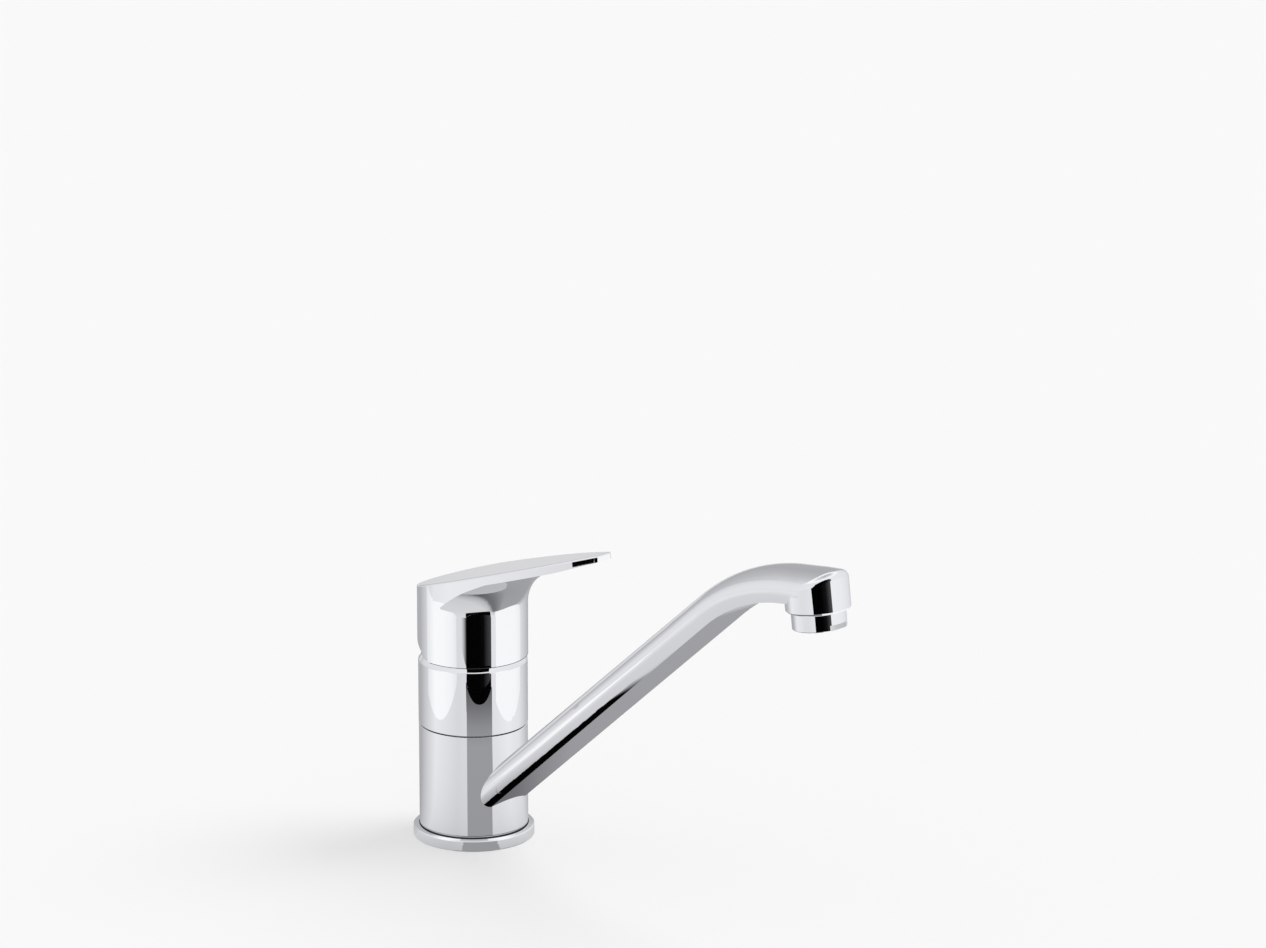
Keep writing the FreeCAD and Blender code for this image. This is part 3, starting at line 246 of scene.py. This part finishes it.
def floor_material():
    """White paper that takes a soft shadow. In the metal it has the tones of a studio around the object,
    with painted shade under the spout and close to the foot, and a painted dark reflection under the arm."""
    material, tree, output = empty_material("white paper")
    path = node(tree, "ShaderNodeLightPath")
    paper = node(tree, "ShaderNodeBsdfDiffuse", inputs={"Color": linear(PAPER_WHITE)})
    seen = node(tree, "ShaderNodeEmission", inputs={"Color": linear(PAPER_WHITE), "Strength": 1.0})
    lit = node(tree, "ShaderNodeMixShader", inputs={"Fac": PAPER_GLOW},
               links={1: paper.outputs["BSDF"], 2: seen.outputs["Emission"]})

    # Around the object
    place = node(tree, "ShaderNodeTexCoord")
    around = node(tree, "ShaderNodeTexGradient", {"gradient_type": "RADIAL"},
                  links={"Vector": place.outputs["Object"]})
    close = node(tree, "ShaderNodeValToRGB", links={"Fac": around.outputs["Fac"]}, tones=PAPER_TONES)
    far = node(tree, "ShaderNodeValToRGB", links={"Fac": around.outputs["Fac"]}, tones=FAR_TONES)
    apart = node(tree, "ShaderNodeVectorMath", {"operation": "LENGTH"},
                 links={0: place.outputs["Object"]})
    fall = node(tree, "ShaderNodeMapRange", inputs={"From Min": CLOSE_EDGE, "From Max": FAR_EDGE},
                links={"Value": apart.outputs["Value"]})
    spread = node(tree, "ShaderNodeMix", {"data_type": "RGBA"},
                  links={"Factor": fall.outputs["Result"], "A": close.outputs["Color"],
                         "B": far.outputs["Color"]})

    # Painted shade under the spout, and a painted dark reflection under the arm, that only the metal shows
    slant = node(tree, "ShaderNodeLayerWeight", inputs={"Blend": 0.5})
    across = node(tree, "ShaderNodeSeparateXYZ", links={"Vector": place.outputs["Object"]})
    side = node(tree, "ShaderNodeMapRange", inputs={"From Min": -UNDER_SIDE, "From Max": UNDER_SIDE},
                links={"Value": across.outputs["Y"]})
    shade = node(tree, "ShaderNodeValToRGB", links={"Fac": side.outputs["Result"]}, tones=UNDER_SPOUT_SHADE_TONES)
    steep = node(tree, "ShaderNodeMapRange",
                 inputs={"From Min": STEEP, "From Max": NOT_STEEP, "To Min": 1.0, "To Max": 0.0},
                 links={"Value": slant.outputs["Facing"]})
    under = node(tree, "ShaderNodeMix", {"data_type": "RGBA"},
                 links={"Factor": steep.outputs["Result"], "A": spread.outputs["Result"],
                        "B": shade.outputs["Color"]})
    plumb = node(tree, "ShaderNodeMapRange",
                 inputs={"From Min": PLUMB, "From Max": NOT_PLUMB, "To Min": 1.0, "To Max": 0.0},
                 links={"Value": slant.outputs["Facing"]})
    low = node(tree, "ShaderNodeMapRange", inputs={"From Min": LINE_GONE, "From Max": LINE_WHOLE},
               links={"Value": path.outputs["Ray Length"]})
    line = node(tree, "ShaderNodeMath", {"operation": "MULTIPLY"},
                links={0: plumb.outputs["Result"], 1: low.outputs["Result"]})
    below = node(tree, "ShaderNodeMix", {"data_type": "RGBA"}, {"B": linear(BLACK)},
                 {"Factor": line.outputs["Value"], "A": under.outputs["Result"]})

    # Painted shade close to the foot, that only the metal shows
    closeness = node(tree, "ShaderNodeMath", {"operation": "DIVIDE"}, {0: FOOT_SHADE},
                     {1: apart.outputs["Value"]})
    open_light = node(tree, "ShaderNodeMath", {"operation": "SUBTRACT"}, {0: 1.0},
                      {1: closeness.outputs["Value"]})
    light = node(tree, "ShaderNodeMath", {"operation": "MAXIMUM"}, {1: FOOT_LIGHT},
                 {0: open_light.outputs["Value"]})

    mirrored = node(tree, "ShaderNodeEmission",
                    links={"Color": below.outputs["Result"], "Strength": light.outputs["Value"]})
    shown = node(tree, "ShaderNodeMixShader",
                 links={"Fac": path.outputs["Is Glossy Ray"], 1: lit.outputs["Shader"],
                        2: mirrored.outputs["Emission"]})
    tree.links.new(shown.outputs["Shader"], output.inputs["Surface"])
    return material


def build_floor():
    """Paper floor, far wider than any view of the object."""
    reach = 6000 * MM
    mesh = bpy.data.meshes.new("paper_floor")
    mesh.from_pydata([(-reach, -reach, 0), (reach, -reach, 0), (reach, reach, 0), (-reach, reach, 0)],
                     [], [(0, 1, 2, 3)])
    floor = bpy.data.objects.new("paper_floor", mesh)
    bpy.context.scene.collection.objects.link(floor)
    mesh.materials.append(floor_material())


# Tones of the cards, along each from its first end or across it from its foot
PLAIN_BLACK = ((0.0, BLACK), (1.0, BLACK))
BODY_BLACK = ((0.0, "E2E2E4"), (0.12, "D8D8DA"), (0.2, "B0B0B2"), (0.295, BLACK), (0.66, BLACK),
              (0.79, "0A0A0A"), (0.94, "3C3C3D"), (1.0, "484849"))
NOSE_BLACK = ((0.0, "020202"), (0.64, "020202"), (0.8, "141415"), (0.96, "48484A"), (1.0, "505052"))
LEFT_WHITE = ((0.0, "E8E8EA"), (0.3, "FFFFFF"), (0.55, "FEFEFE"), (0.8, "F8F8F9"), (1.0, "ECECED"))
RIGHT_WHITE = ((0.0, "F2F2F3"), (0.3, "FCFCFC"), (1.0, "FDFDFD"))
# Painted grey reflections for the body, the flange and the aerator's flat, and painted shade in the joints
# and in the cap's hollow
BODY_GREY = ((0.0, "9A9A9C"), (0.62, "9D9D9F"), (0.75, "8F8F92"), (0.89, "707072"), (1.0, "606062"))
FLANGE_GREY = ((0.0, "9A9A9C"), (1.0, "9A9A9C"))
AERATOR_GREY = ((0.0, "DEDEE0"), (0.4, "C6C6C8"), (1.0, "BEBEC0"))
JOINT_SHADE = ((0.0, "2A2A2B"), (1.0, "3A3A3B"))
CAP_GREY = ((0.0, "B9B9BC"), (1.0, "BEBEC1"))

# Height of a card that lies on the paper
ON_PAPER = 0.5


def stand_cards_around():
    """Black and white cards around the object, for the chrome to show."""
    black = card_material("black card", PLAIN_BLACK)
    # Black for the strip down the body, and farther off for the one down the nose
    body_black = card_material("black card for the body", BODY_BLACK)
    standing("body_black", (103, -309), (250, -34), body_black, 75, 8)
    standing("body_black_foot", (145, -230), (250, -34), black, 8.4)
    card("body_black_floor", [(119, -190, ON_PAPER), (141, -234, ON_PAPER), (250, -34, ON_PAPER),
                              (195, -30, ON_PAPER)], black)
    nose_black = card_material("black card for the nose", NOSE_BLACK, reach_mm=(0, 510))
    standing("nose_black", (336, -677), (700, 30), nose_black, 700)
    card("nose_black_floor", [(200, -400, ON_PAPER), (336, -677, ON_PAPER), (700, -60, ON_PAPER),
                              (420, -40, ON_PAPER)], black)
    # White to the left and right of the body
    left_white = card_material("white card on the left", LEFT_WHITE, reach_mm=(0, 275))
    standing("left_white", (-205, -122), (60, -265), left_white, 58)
    right_white = card_material("white card on the right", RIGHT_WHITE)
    standing("right_white", (90, 222), (238, 8), right_white, 130)


def set_cards_close():
    """Grey and black cards close to the metal, each for a painted reflection on one place of it."""
    # Painted grey reflection for the lower body, with a hollow upper edge, and lower down for the flange
    body_grey = card_material("grey card for the body", BODY_GREY, "Y", (8, 11.4), back_only=True)
    edge_steps, edge_low, edge_rise, edge_bend = 12, 66.8, 8, 2.4
    hollow = tuple((step / edge_steps, edge_low + edge_rise * abs(step * 2 / edge_steps - 1) ** edge_bend)
                   for step in range(edge_steps + 1))
    standing("body_grey", (20.8, -28.1), (32.7, -11.2), body_grey, hollow)
    flange_grey = card_material("grey card for the flange", FLANGE_GREY, reach_mm=(0, 7.8))
    standing("flange_grey", (18.5, -30), (33.5, -9.7), flange_grey, 5)
    card("flange_grey_foot", [(15, -22, 0.4), (18.5, -30, 0.4), (33.5, -9.7, 0.4), (26, -9, 0.4)],
         flange_grey)
    # Painted grey reflection for the aerator's flat
    flat_grey = card_material("grey card for the aerator", AERATOR_GREY, reach_mm=(0, 6.5))
    card("flat_grey", [(227.5, -1.5, 145), (227.5, 8.8, 145), (227.5, 8.8, 148.2), (227.5, -1.5, 148.2)],
         flat_grey, body="spout")
    # A painted dark reflection, like a slit, that the lever's side shows near its tip
    lever_black = card_material("black card for the lever", PLAIN_BLACK, reach_mm=(90, 120))
    card("lever_black", [(78.7, -100, 117), (99.2, -100, 118.6), (99.2, -100, 124.2), (78.7, -100, 122.7)],
         lever_black, body="lever")


def shade_joints():
    """Painted shade in the joints between flange, spout, body and lever, and painted shade and reflection
    around the lever's cap.
    """
    joint_shade = card_material("painted shade card in the joints", JOINT_SHADE, "Y", (0, 1.6))
    collar("flange_joint", (24.95, 6.1), (24.2, 8.5), joint_shade)
    collar("spout_joint", (23.9, 54.0), (24.95, 54.0), joint_shade)
    edge_shade = card_material("painted shade card under the lever's cap and at the flange", JOINT_SHADE, "Y", (0, 0.9))
    collar("lever_joint", (21.5, 86.6), (26.2, 86.6), edge_shade)
    collar("flange_joint_edge", (24.9, 6.1), (25.9, 6.1), edge_shade)
    # Black over the bevel, a painted reflection that carries the strip across it, and grey inside the cap,
    # a painted shade for its hollow
    bevel_black = card_material("black card for the bevel", PLAIN_BLACK, reach_mm=(0, 4))
    collar("bevel_black", (20.5, 86.9), (28, 86.9), bevel_black, (-52, -25))
    cap_grey = card_material("grey card for the cap's hollow", CAP_GREY, "Y")
    collar("cap_grey", (0.5, 87.6), (24.3, 87.6), cap_grey, body="lever")


def clear_own_reflections():
    """The metal shows the room and not its own other pieces."""
    for piece in frame["nodes"].values():
        piece.visible_glossy = False


ROOM_WHITE = "FFFFFF"
ROOM_LIGHT = 0.7
# Heights, from level (0) to overhead (1), over which the room turns into the ceiling
CEILING_FROM, CEILING_WHOLE = 0.68, 0.8
KEY_STRENGTH = 1.23
KEY_SPREAD = math.radians(40)
KEY_WAY = Vector((-0.31, -0.56, -0.77))


def build_light():
    """Soft light from above on the right, and a pale room with a white ceiling."""
    world = bpy.data.worlds.new("white room")
    bpy.context.scene.world = world
    world.use_nodes = True
    tree = world.node_tree
    tree.nodes.clear()
    output = node(tree, "ShaderNodeOutputWorld")
    path = node(tree, "ShaderNodeLightPath")
    soft = node(tree, "ShaderNodeBackground", inputs={"Color": linear(ROOM_WHITE), "Strength": ROOM_LIGHT})
    place = node(tree, "ShaderNodeTexCoord")
    around = node(tree, "ShaderNodeTexGradient", {"gradient_type": "RADIAL"},
                  links={"Vector": place.outputs["Generated"]})
    way = node(tree, "ShaderNodeSeparateXYZ", links={"Vector": place.outputs["Generated"]})
    rise = node(tree, "ShaderNodeMapRange", inputs={"From Min": CEILING_FROM, "From Max": CEILING_WHOLE},
                links={"Value": way.outputs["Z"]})
    walls = node(tree, "ShaderNodeValToRGB", links={"Fac": around.outputs["Fac"]}, tones=ROOM_TONES)
    ceiling = node(tree, "ShaderNodeValToRGB", links={"Fac": way.outputs["Z"]}, tones=CEILING_TONES)
    tones = node(tree, "ShaderNodeMix", {"data_type": "RGBA"},
                 links={"Factor": rise.outputs["Result"], "A": walls.outputs["Color"],
                        "B": ceiling.outputs["Color"]})
    seen = node(tree, "ShaderNodeBackground", inputs={"Strength": 1.0},
                links={"Color": tones.outputs["Result"]})
    direct = node(tree, "ShaderNodeMath", {"operation": "MAXIMUM"},
                  links={0: path.outputs["Is Camera Ray"], 1: path.outputs["Is Glossy Ray"]})
    clear = node(tree, "ShaderNodeMath", {"operation": "MAXIMUM"},
                 links={0: direct.outputs["Value"], 1: path.outputs["Is Transmission Ray"]})
    mixed = node(tree, "ShaderNodeMixShader",
                 links={"Fac": clear.outputs["Value"], 1: soft.outputs["Background"],
                        2: seen.outputs["Background"]})
    tree.links.new(mixed.outputs["Shader"], output.inputs["Surface"])

    key = bpy.data.lights.new("key", "SUN")
    key.energy = KEY_STRENGTH
    key.angle = KEY_SPREAD
    lamp = bpy.data.objects.new("key", key)
    bpy.context.scene.collection.objects.link(lamp)
    lamp.rotation_euler = KEY_WAY.to_track_quat("-Z", "Y").to_euler()
    lamp.visible_glossy = False


CAMERA_PLACE = Vector((2028.519, -2003.419, 993.499)) * MM
CAMERA_RIGHT = Vector((0.720684, 0.693263, 0.0))
CAMERA_UP = Vector((-0.192179, 0.199780, 0.960810))
CAMERA_BACK = Vector((0.666094, -0.692440, 0.277209))
SENSOR_WIDTH, LENS = 36.0, 186.46


def build_camera():
    """The photograph's long lens, set by its place and its level aim."""
    camera = bpy.data.cameras.new("camera")
    camera.sensor_width = SENSOR_WIDTH
    camera.lens = LENS
    camera.clip_end = 50.0
    made = bpy.data.objects.new("camera", camera)
    bpy.context.scene.collection.objects.link(made)
    turn = Matrix((CAMERA_RIGHT, CAMERA_UP, CAMERA_BACK)).transposed().to_4x4()
    made.matrix_world = Matrix.Translation(CAMERA_PLACE) @ turn
    bpy.context.scene.camera = made


dress_nodes()
build_floor()
stand_cards_around()
set_cards_close()
shade_joints()
clear_own_reflections()
build_light()
build_camera()
bpy.context.scene.view_settings.view_transform = "Standard"
